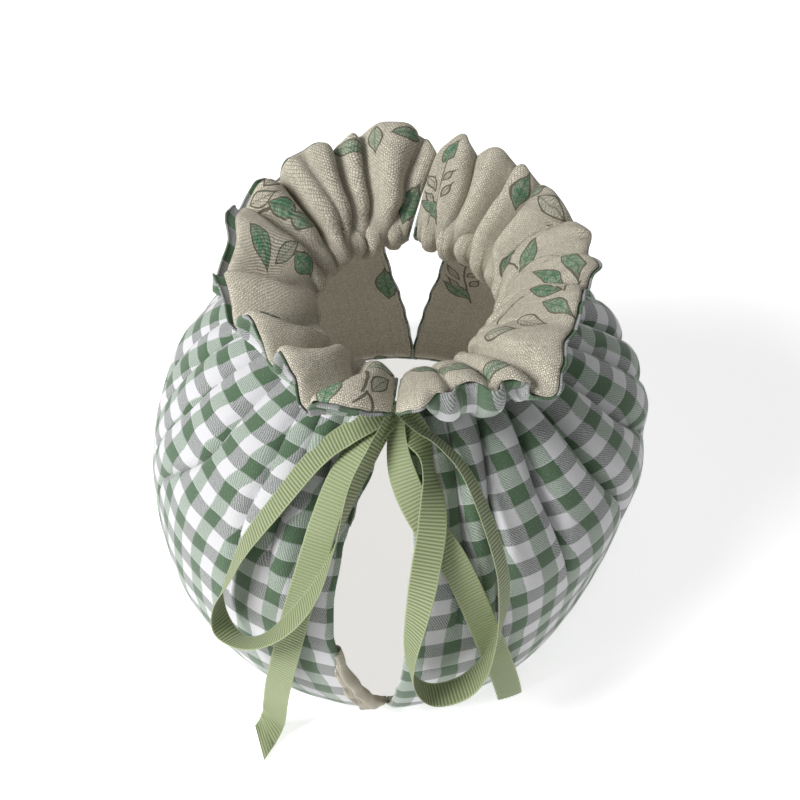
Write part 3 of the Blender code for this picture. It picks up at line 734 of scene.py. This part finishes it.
def cloth_place(panel, cloth_grid, azimuth, out):
    """Where on the cloth a place on the frill lies, out being 0 at the neck and 1 at the
    edge, and the steps around and out that a step across or along the cloth makes there."""
    away = cloth_grid - panel.base(np.array([azimuth]), np.array([NECK_HEIGHT + out]), -1)
    row, column = np.unravel_index(np.argmin(np.sum(away ** 2, -1)), away.shape[:2])
    low = max(row - NEAR_ROWS, 0)
    high = min(row + NEAR_ROWS, len(GRID_OUT) - 1)
    left = max(column - NEAR_COLUMNS, 0)
    right = min(column + NEAR_COLUMNS, len(GRID_ACROSS) - 1)
    across = ((cloth_grid[row, right] - cloth_grid[row, left])
              / ((GRID_ACROSS[right] - GRID_ACROSS[left]) * CLOTH_ACROSS))
    along = ((cloth_grid[high, column] - cloth_grid[low, column])
             / ((GRID_OUT[high] - GRID_OUT[low]) * FRILL_ALONG))
    upright = unit(np.cross(across, along))
    around = np.array([-math.sin(math.radians(azimuth)), math.cos(math.radians(azimuth)), 0.0])
    around = unit(around - upright * (around @ upright))
    outward = np.cross(upright, around)
    steps = np.array([[across @ around, along @ around], [across @ outward, along @ outward]])
    return GRID_ACROSS[column] * CLOTH_ACROSS, WALL_ALONG + GRID_OUT[row] * FRILL_ALONG, steps


def leaf_print(linen, cloth, panel, leaves, twigs):
    """A panel's print: how strong its green and its lines are at a place on the cloth."""
    wobble = linen.noise(cloth, 0.35, 1.0, output=1)
    across, along = cloth.split()
    repeated = linen.node("ShaderNodeCombineXYZ", None,
                          {0: across, 1: (along - PRINT_START) % PRINT_REPEAT + PRINT_START})
    drawn = linen.vector("MULTIPLY_ADD", wobble, (HAND_SHAKE, HAND_SHAKE, 0.0), repeated)
    shaken = HAND_SHAKE / 2.0
    grid_u, grid_out = np.meshgrid(GRID_ACROSS, GRID_OUT)
    cloth_grid = panel.seam_surface(grid_u, NECK_HEIGHT + grid_out, -1)
    outlines = []
    veins = []
    greens = []
    for azimuth, out, direction, length, width, green_part in leaves:
        x, y, steps = cloth_place(panel, cloth_grid, azimuth, out)
        ahead = np.array([math.sin(math.radians(direction)), math.cos(math.radians(direction))])
        lengthwise = ahead @ steps / (length / 2.0)
        sideways = np.array([ahead[1], -ahead[0]]) @ steps / (width / 2.0)
        away = linen.vector("SUBTRACT", drawn, (x + shaken, y + shaken, 0.0))
        on_length = linen.vector("DOT_PRODUCT", away, (*lengthwise, 0.0), output=1)
        off_rib = abs(linen.vector("DOT_PRODUCT", away, (*sideways, 0.0), output=1))
        squared = on_length * on_length
        half_width = (1.0 - squared) * (1.05 - squared * 0.35 - on_length * 0.28).most(0.15)
        outside = (off_rib - half_width) * (width / 2.0)
        inside = outside < -FILL_INSET
        rib = ((off_rib * (width / 2.0)) < MIDRIB_HALF).most(
            ((on_length * SIDE_VEINS - off_rib * VEIN_SLANT) % 1.0) < VEIN_SHARE)
        outlines.append(outside)
        veins.append(inside * rib)
        if green_part:
            greens.append(inside * green_part)
    for first_azimuth, first_out, last_azimuth, last_out in twigs:
        a = np.array(cloth_place(panel, cloth_grid, first_azimuth, first_out)[:2])
        b = np.array(cloth_place(panel, cloth_grid, last_azimuth, last_out)[:2])
        length = float(np.linalg.norm(b - a))
        middle = (a + b) / 2.0 + shaken
        on_twig, off_twig = linen.node(
            "ShaderNodeMapping", {"vector_type": "TEXTURE"},
            {"Vector": drawn, "Location": (*middle, 0.0),
             "Rotation": (0.0, 0.0, math.atan2(b[1] - a[1], b[0] - a[0]))}).split()
        bowed = abs(off_twig - on_twig * on_twig * (0.35 / length))
        outlines.append(bowed + (abs(on_twig) - length / 2.0).most(0.0) - TWIG_HALF)
    wash = linen.noise(cloth, 0.45, 2.0)
    green = functools.reduce(Wire.most, greens) * (0.6 + wash.between(0.35, 0.65) * 0.35)
    outline = abs(functools.reduce(Wire.least, outlines)).between(LINE_END, LINE_HALF)
    return green, outline.most(functools.reduce(Wire.most, veins) * 0.6) * 0.85


def linen_finish(name, contrast, panel=None, leaves=(), twigs=()):
    """Linen, its weave as strong as the contrast, printed if it is for a panel."""
    linen = Finish(name, 0.9)
    cloth = linen.on_cloth()
    warp, weft = cloth.split()
    slub = linen.noise(cloth, 0.8, 2.0)
    warp = warp + (slub - 0.5) * 0.4
    weft = weft + (slub - 0.5) * 0.4
    warp_yarn = (warp / LINEN_THREAD).floor()
    weft_yarn = (weft / LINEN_THREAD).floor()
    over = ((warp_yarn + weft_yarn) % 2.0) > 0.5
    warp_round = abs((warp * math.pi / LINEN_THREAD).sine())
    weft_round = abs((weft * math.pi / LINEN_THREAD).sine())
    thread = warp_round * over + weft_round * (1.0 - over)
    pin_hole = (1.0 - warp_round) * (1.0 - weft_round)
    crossing = linen.node("ShaderNodeTexWhiteNoise", {"noise_dimensions": "2D"},
                          {"Vector": linen.node("ShaderNodeCombineXYZ", None,
                                                {0: warp_yarn, 1: weft_yarn})})
    yarn = linen.node("ShaderNodeTexWhiteNoise", {"noise_dimensions": "1D"},
                      {"W": warp_yarn * over + weft_yarn * (17.3 - 17.3 * over)})
    shade = ((1.0 - over) * 0.26 + pin_hole.between(0.05, 0.5) * 0.7 + crossing * 0.22
             + yarn * 0.14) * contrast
    woven = linen.mix(shade, LINEN, LINEN_DARK)
    if panel:
        green, line = leaf_print(linen, cloth, panel, leaves, twigs)
        woven = linen.mix(green, woven, linen.mix(shade, PRINT_GREEN, PRINT_DEEP))
        woven = linen.mix(line, woven, PRINT_LINE)
    linen.feed("Base Color", woven)
    linen.bump(thread * 0.8 - pin_hole * 0.6, 0.00014)
    return linen.material


for panel, leaves, twigs in ((RIGHT, LEAVES_RIGHT, TWIGS_RIGHT),
                             (LEFT, LEAVES_LEFT, TWIGS_LEFT)):
    piece = cloth_piece("lining_cloth_" + panel.name, panel, -1, wall_away=-1.2,
                        frill_away=-1.6, at_edge=0.1, radius=2.6, hem=1.2)
    piece.data.materials.append(linen_finish("linen_" + panel.name, 1.0, panel, leaves, twigs))
    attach(piece, "root")
    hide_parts("lining_" + panel.name)

# ---------------------------------------------------------------------------
# Slit facing. A strip of the lining linen, turned over the left panel's edge at the foot
# of the handle slit and stitched down, so that it shows from outside.
# ---------------------------------------------------------------------------
FACING_FOOT = 4.0
FACING_TOP = 52.0
FACING_INSIDE = 3.6
FACING_STAND = 2.6                         # stand-off of its middle outside, and inside
FACING_STAND_INSIDE = 2.3
FACING_LUMPS = 0.55
SEAM_AWAY = 1.5                            # its stitches, from the slit's edge
SEAM_WIDTH = 0.45
SEAM_DEPTH = 0.7
FACING_COLUMNS = 41
FACING_ROWS = 140
FACING = (
    # height, how far it lies over the outer cloth
    (4.0, 0.4), (9.0, 2.2), (16.0, 4.0), (23.0, 3.4), (30.0, 4.4), (39.0, 3.0), (52.0, 0.3),
)


def facing_piece(name):
    """The facing, and its mean width unfolded."""
    heights = np.linspace(FACING_FOOT, FACING_TOP, FACING_ROWS)[:, None]
    part = np.linspace(-1.0, 1.0, FACING_COLUMNS)[None, :]
    v = heights + 0.0 * part
    over = table_value(FACING, heights, 1) * np.clip(part, 0.0, 1.0)
    inside = FACING_INSIDE * np.clip(-part, 0.0, 1.0)
    start, end = LEFT.borders(v)
    width = np.radians(end - start) * wall_radius(end, heights)
    points = LEFT.seam_surface(1.0 - (over + inside) / width, v, 1)
    away = LEFT.base_normal(end - 2.0, v, 1)
    edge = -unit(np.cross(away, LEFT.base(end, heights + 1.0, 1) - LEFT.base(end, heights, 1)))
    quarter = np.clip(np.abs(part) * 5.0, 0.0, 1.0) * math.pi / 2.0
    side = np.sign(part) * np.sin(quarter)
    lumps = (FACING_LUMPS * unevenness(over * 2.5, heights, 6.0, 5)
             * np.clip(part * 2.0, 0.0, 1.0))
    crease = SEAM_DEPTH * hill(over, SEAM_AWAY, SEAM_WIDTH) * ease((heights - 6.0) / 8.0)
    tapered = 0.4 + 0.6 * ease((heights - FACING_FOOT) / 14.0)
    stand = (np.where(side > 0.0, FACING_STAND, FACING_STAND_INSIDE) * side * tapered
             + lumps - crease)
    points = points + away * stand[..., None]
    points = points + edge * (ease(heights / 20.0) * np.cos(quarter))[..., None]
    points[..., 2] = np.maximum(points[..., 2], CLOTH_THICKNESS / 2.0 + TABLE_GAP)
    mesh = bmesh.new()
    bmesh.ops.create_grid(mesh, x_segments=FACING_COLUMNS - 1, y_segments=FACING_ROWS - 1,
                          size=1.0)
    cloth_uv = mesh.loops.layers.uv.new("cloth")
    reach = np.cumsum(np.linalg.norm(np.diff(points, axis=1, prepend=points[:, :1]), axis=2), 1)
    for vert in mesh.verts:
        i = round((vert.co.x + 1.0) / 2.0 * (FACING_COLUMNS - 1))
        j = round((vert.co.y + 1.0) / 2.0 * (FACING_ROWS - 1))
        vert.co = (points[j, i] + ROW_SHIFT) * MM
        for loop in vert.link_loops:
            loop[cloth_uv].uv = (reach[j, i], heights[j, 0])
    piece = finished_piece(name, mesh)
    thicken(piece)
    return piece, float(reach[:, -1].mean())


facing, facing_width = facing_piece("slit_facing_left")
# The facing's weave is darkened only 0.8 as much as the linings': painted light that lifts the
# facing where it stands in shade.
facing.data.materials.append(linen_finish("linen_plain_painted_lighter", 0.8))
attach(facing, "root")

# ---------------------------------------------------------------------------
# Drawstring bow. One length of ribbed polyester ribbon, 10 mm wide, that comes out of
# its channel at the front of the neck and is tied in a bow of two loops and two tails.
# ---------------------------------------------------------------------------
RIBBON_WIDTH = 10.0
RIBBON_THICKNESS = 0.42
RIB_PITCH = 1.25
RIB_HEIGHT = 0.15
SELVEDGE = 0.55
RIB_STEPS = 6                              # rows of the mesh to a rib
CUT_LEFT = -9.0                            # slant of a tail's end, across its width
CUT_RIGHT = -8.0
CUT_REACH = 30.0
CURL = 0.35
CURL_LENGTH = 23.0
WIDEST_HEIGHT = 50.0                       # below it the ribbons hang plumb
RIBBON_GREEN = colour(0.40, 0.46, 0.26)
# darkest ribbon colour: painted shade in the grooves, and a random filament tone
RIBBON_GROOVE_SHADE_AND_FILAMENT = colour(0.12, 0.145, 0.06)
LOOP_LEFT = (
    # azimuth, height, stand-off from the wall, turn about the ribbon's own line
    (264.1, 125.6, 5.0, 20.0), (258.6, 122.8, 5.5, 26.0), (252.7, 120.4, 6.5, 30.0),
    (247.1, 117.6, 6.8, 30.0), (241.1, 113.0, 7.0, 30.0), (237.4, 105.8, 7.2, 30.0),
    (233.4, 88.8, 8.4, 40.0), (232.5, 76.2, 9.4, 52.0), (231.8, 64.4, 10.2, 68.0),
    (233.7, 55.4, 10.5, 84.0), (237.7, 53.8, 11.0, 74.0), (243.2, 61.2, 12.2, 96.0),
    (248.2, 73.2, 12.8, 120.0), (252.0, 86.0, 12.2, 118.0), (253.8, 99.0, 11.6, 100.0),
    (255.0, 110.0, 11.2, 76.0), (258.4, 117.6, 11.2, 72.0), (261.5, 121.4, 9.5, 70.0),
    (264.0, 124.6, 7.0, 66.0), (265.1, 126.6, 6.0, 60.0),
)
TAIL_LEFT = (
    (264.5, 125.4, 4.5, 0.0), (261.7, 122.4, 5.0, 10.0), (257.2, 119.4, 6.0, 20.0),
    (252.4, 115.4, 7.2, 25.0), (249.7, 109.0, 8.2, 12.0), (249.2, 100.0, 8.8, 2.0),
    (249.1, 93.0, 7.2, -8.0), (248.7, 81.2, 6.0, -8.0), (247.3, 53.8, 6.0, -2.0),
    (245.4, 25.0, 9.5, 0.0), (244.6, 10.5, 15.0, 0.0), (244.1, 4.6, 22.0, 0.0),
    (243.8, 3.0, 29.0, 0.0),
)
LOOP_RIGHT = (
    (265.6, 126.6, 6.0, 20.0), (268.0, 123.8, 7.0, 18.0), (271.4, 121.4, 8.2, 10.0),
    (274.7, 119.0, 9.0, -24.0), (276.7, 116.2, 9.6, -54.0), (277.3, 112.4, 10.0, -54.0),
    (277.4, 108.4, 10.2, -30.0), (276.5, 102.2, 10.3, -2.0), (274.8, 93.8, 10.6, 10.0),
    (273.2, 81.6, 11.0, 42.0), (271.9, 65.8, 11.2, 70.0), (272.4, 53.8, 11.0, 84.0),
    (276.1, 44.6, 11.0, 92.0), (281.9, 45.2, 11.0, 90.0), (286.2, 54.0, 11.0, 78.0),
    (289.4, 67.4, 11.0, 58.0), (291.2, 80.2, 11.0, 46.0), (291.5, 92.4, 11.2, 50.0),
    (289.9, 106.4, 11.4, 54.0), (286.9, 114.6, 12.2, 60.0), (280.3, 120.2, 12.6, 70.0),
    (274.1, 122.4, 11.0, 74.0), (269.4, 124.6, 8.5, 70.0), (266.6, 127.4, 7.0, 64.0),
)
TAIL_RIGHT = (
    (265.0, 125.4, 4.5, 60.0), (265.3, 122.4, 5.0, 58.0), (265.4, 119.2, 5.4, 52.0),
    (266.7, 114.6, 5.6, 38.0), (269.8, 109.0, 5.4, 14.0), (274.8, 102.0, 6.0, 0.0),
    (279.5, 95.4, 5.8, 0.0), (282.6, 88.0, 5.4, 0.0), (285.8, 75.0, 5.0, 0.0),
    (288.8, 56.0, 5.5, 0.0), (291.6, 34.0, 7.5, 0.0), (293.4, 17.0, 10.5, 0.0),
)


def wall_normal(azimuth, height):
    """Outward unit normal of the wall without its pleats."""
    across = on_wall(azimuth + 0.5, height) - on_wall(azimuth - 0.5, height)
    low = np.maximum(height - 1.0, 0.0)
    high = np.minimum(height + 1.0, NECK_HEIGHT)
    return unit(np.cross(across, on_wall(azimuth, high) - on_wall(azimuth, low)))


def ribbon_piece(name, stations, cut):
    """Ribbon along the stations, its last end cut on a slant, ribbed on both faces."""
    rows = smooth_curve(stations, 40)
    line = on_wall(rows[:, 0], rows[:, 1], rows[:, 2])
    lengths = np.concatenate([[0.0], np.cumsum(np.linalg.norm(np.diff(line, axis=0), axis=1))])
    count = int(lengths[-1] / (RIB_PITCH / RIB_STEPS))
    at = np.linspace(0.0, lengths[-1], count + 1)
    rows = np.stack([np.interp(at, lengths, rows[:, k]) for k in range(4)], 1)
    line = on_wall(rows[:, 0], rows[:, 1], rows[:, 2])
    along = unit(np.gradient(line, axis=0))
    normal = wall_normal(rows[:, 0], np.maximum(rows[:, 1], WIDEST_HEIGHT))
    normal = unit(normal - along * np.sum(normal * along, 1, keepdims=True))
    turn = np.radians(rows[:, 3])[:, None]
    outward = normal * np.cos(turn) + np.cross(along, normal) * np.sin(turn)
    width = np.cross(along, outward)

    side = np.array([-1.0, -0.93, -0.86, -0.55, -0.2, 0.2, 0.55, 0.86, 0.93, 1.0])
    last = len(side) - 1
    mesh = bmesh.new()
    bmesh.ops.create_grid(mesh, x_segments=last, y_segments=count, size=1.0)
    copy = bmesh.ops.extrude_face_region(mesh, geom=mesh.faces[:], use_keep_orig=True)
    upper = {item for item in copy["geom"] if isinstance(item, bmesh.types.BMVert)}
    mesh.verts.index_update()
    spots = np.array([vert.co[:] for vert in mesh.verts])
    layer = np.array([1.0 if vert in upper else -1.0 for vert in mesh.verts])
    i = np.rint((spots[:, 0] + 1.0) / 2.0 * last).astype(int)
    j = np.rint((spots[:, 1] + 1.0) / 2.0 * count).astype(int)
    across = side[i] * RIBBON_WIDTH / 2.0
    slant = cut * np.clip(1.0 - (at[-1] - at[j]) / CUT_REACH, 0.0, 1.0) * side[i] / 2.0
    curl = CURL * (side[i] ** 2 - 0.4) * np.sin(at[j] / CURL_LENGTH + len(name))
    fade = np.clip((RIBBON_WIDTH / 2.0 - np.abs(across)) / SELVEDGE, 0.0, 1.0)
    rib = np.cos(2.0 * math.pi * at[j] / RIB_PITCH) * fade
    lift = layer * (RIBBON_THICKNESS / 2.0 + RIB_HEIGHT * (rib - 1.0) / 2.0)
    points = (line[j] + width[j] * across[:, None] + outward[j] * (curl + lift)[:, None]
              + along[j] * slant[:, None] + ROW_SHIFT) * MM
    for vert, point in zip(mesh.verts, points):
        vert.co = point
    ribbon_uv = mesh.loops.layers.uv.new("cloth")
    for face in mesh.faces:
        for loop in face.loops:
            k = loop.vert.index
            loop[ribbon_uv].uv = (across[k], at[j[k]])
    bmesh.ops.recalc_face_normals(mesh, faces=mesh.faces[:])
    piece = finished_piece(name, mesh)
    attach(piece, "root")
    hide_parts("drawstring_bow")
    return piece


def ribbon_finish(name, groove_shade_strength):
    """Dyed ribbon, its ribs running across it, with painted shade darkening its grooves as much as
    given.
    """
    grosgrain = Finish(name, 0.55)
    ribbon = grosgrain.on_cloth()
    across, along = ribbon.split()
    rib = (along * (2.0 * math.pi / RIB_PITCH) + math.pi / 2.0).sine() * 0.5 + 0.5
    body = abs(across).between(RIBBON_WIDTH / 2.0 - 0.1, RIBBON_WIDTH / 2.0 - SELVEDGE - 0.2)
    stretched = grosgrain.node("ShaderNodeMapping", None,
                               {"Vector": ribbon, "Scale": (7.0, 1.2, 1.0)})
    filament = grosgrain.noise(stretched, 1.0, 2.0)
    # Painted shade: the colour is darkened in the grooves between the ribs, with a random filament
    # tone on top.
    painted_groove_shade = (1.0 - rib) * body
    grosgrain.feed("Base Color", grosgrain.mix(painted_groove_shade * groove_shade_strength + (filament - 0.5) * 0.2,
                                               RIBBON_GREEN, RIBBON_GROOVE_SHADE_AND_FILAMENT))
    grosgrain.bump(filament * 0.3 + rib * body, 0.00008)
    grosgrain.shader.inputs["Sheen Weight"].default_value = 0.2
    return grosgrain.material


# The loops get strong painted groove shade, the tails a weaker one, so the tails look paler.
loop_finish = ribbon_finish("grosgrain", 0.8)
tail_finish = ribbon_finish("grosgrain_tail_less_groove_shade", 0.45)

for name, stations, cut, finish in (("ribbon_loop_left", LOOP_LEFT, 0.0, loop_finish),
                                    ("ribbon_loop_right", LOOP_RIGHT, 0.0, loop_finish),
                                    ("ribbon_tail_left", TAIL_LEFT, CUT_LEFT, tail_finish),
                                    ("ribbon_tail_right", TAIL_RIGHT, CUT_RIGHT, tail_finish)):
    strand = ribbon_piece(name, stations, cut)
    strand.data.materials.append(finish)

# ---------------------------------------------------------------------------
# Plain pale floor, one soft lamp on the upper left with two weak ones above and in front
# of the cosy, an even pale studio all round, and the camera.
# ---------------------------------------------------------------------------
FLOOR_HALF = 3.0                           # these in metres
FLOOR_GLOW = 0.6
STUDIO_GLOW = 0.19
LAMP_AIM = np.array([0.0, 0.0, 0.08])
LAMPS = (
    # name, place, side, watts
    ("key", (-0.70, -0.27, 0.79), 0.40, 9.6), ("top", (0.12, 0.16, 1.2), 0.9, 1.4),
    ("fill", (0.2, -1.1, 0.9), 1.2, 0.2),
)
CAMERA_TILT = 52.0
CAMERA_DISTANCE = 0.55
CAMERA_AIM = (0.0008, 0.0086, 0.075)

mesh = bmesh.new()
bmesh.ops.create_grid(mesh, x_segments=1, y_segments=1, size=FLOOR_HALF)
floor = finished_piece("floor", mesh)
paper = Finish("paper_floor", 0.9)
paper.shader.inputs["Base Color"].default_value = colour(0.95, 0.95, 0.95)
paper.shader.inputs["Emission Color"].default_value = colour(1.0, 1.0, 1.0)
paper.shader.inputs["Emission Strength"].default_value = FLOOR_GLOW
floor.data.materials.append(paper.material)

for name, place, size, power in LAMPS:
    lamp = bpy.data.lights.new(name, "AREA")
    lamp.size = size
    lamp.energy = power
    light = bpy.data.objects.new(name, lamp)
    light.location = place
    aim = LAMP_AIM - np.array(place)
    light.rotation_euler = (math.atan2(math.hypot(aim[0], aim[1]), -aim[2]), 0.0,
                            math.atan2(aim[1], aim[0]) - math.pi / 2.0)
    bpy.context.scene.collection.objects.link(light)

world = bpy.data.worlds.new("studio")
world.use_nodes = True
world.node_tree.nodes["Background"].inputs["Color"].default_value = colour(1.0, 1.0, 1.0)
world.node_tree.nodes["Background"].inputs["Strength"].default_value = STUDIO_GLOW
bpy.context.scene.world = world
bpy.context.scene.view_settings.view_transform = "Standard"

lens = bpy.data.cameras.new("camera")
lens.lens = 64.8
lens.sensor_width = 36.0
lens.clip_start = 0.01
camera = bpy.data.objects.new("camera", lens)
camera.location = (CAMERA_AIM[0],
                   CAMERA_AIM[1] - CAMERA_DISTANCE * math.cos(math.radians(CAMERA_TILT)),
                   CAMERA_AIM[2] + CAMERA_DISTANCE * math.sin(math.radians(CAMERA_TILT)))
camera.rotation_euler = (math.radians(90.0 - CAMERA_TILT), 0.0, 0.0)
bpy.context.scene.collection.objects.link(camera)
bpy.context.scene.camera = camera
